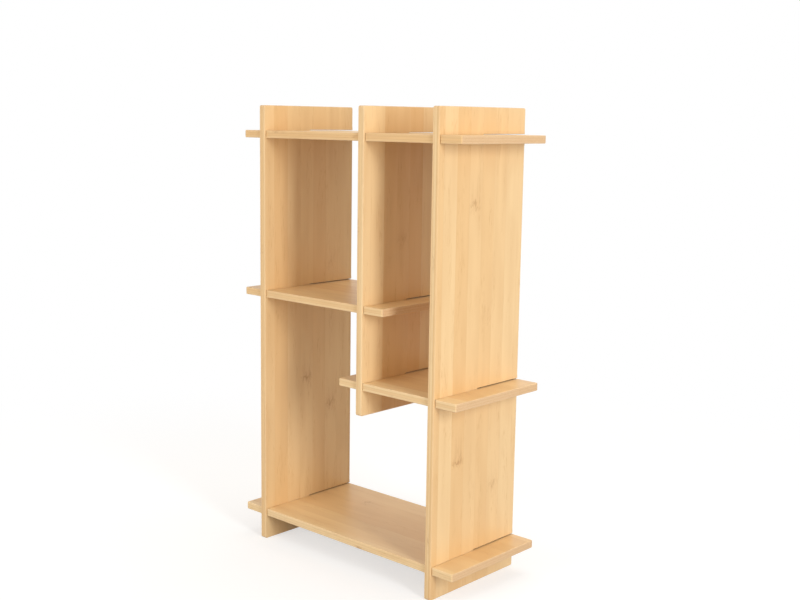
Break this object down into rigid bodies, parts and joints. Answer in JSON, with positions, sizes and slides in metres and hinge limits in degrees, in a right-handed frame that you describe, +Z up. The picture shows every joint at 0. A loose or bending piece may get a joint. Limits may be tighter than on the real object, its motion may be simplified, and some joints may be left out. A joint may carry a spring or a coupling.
{
  "type": "plant stand",
  "caption": "Tall open plant stand of flat bamboo boards: uprights and offset shelves that slide together with halved cross joints and leave bays of different heights.",
  "frame": {"origin": "on the floor, at the middle of the stand's overall width and depth", "axes": "+Z up the uprights; +X to the right as seen from the front, along the shelves; +Y from front to back"},
  "size_m": [0.46, 0.2, 0.724],
  "materials": {
    "upright_bamboo": "laminated bamboo, strips running up the board, satin clear lacquer",
    "shelf_bamboo": "laminated bamboo, strips running along the board, satin clear lacquer"
  },
  "bodies": {
    "root": {"left_upright": "upright_bamboo", "middle_upright": "upright_bamboo", "right_upright": "upright_bamboo", "top_shelf": "shelf_bamboo", "upper_left_shelf": "shelf_bamboo", "lower_right_shelf": "shelf_bamboo", "bottom_shelf": "shelf_bamboo"}
  },
  "joints": []
}
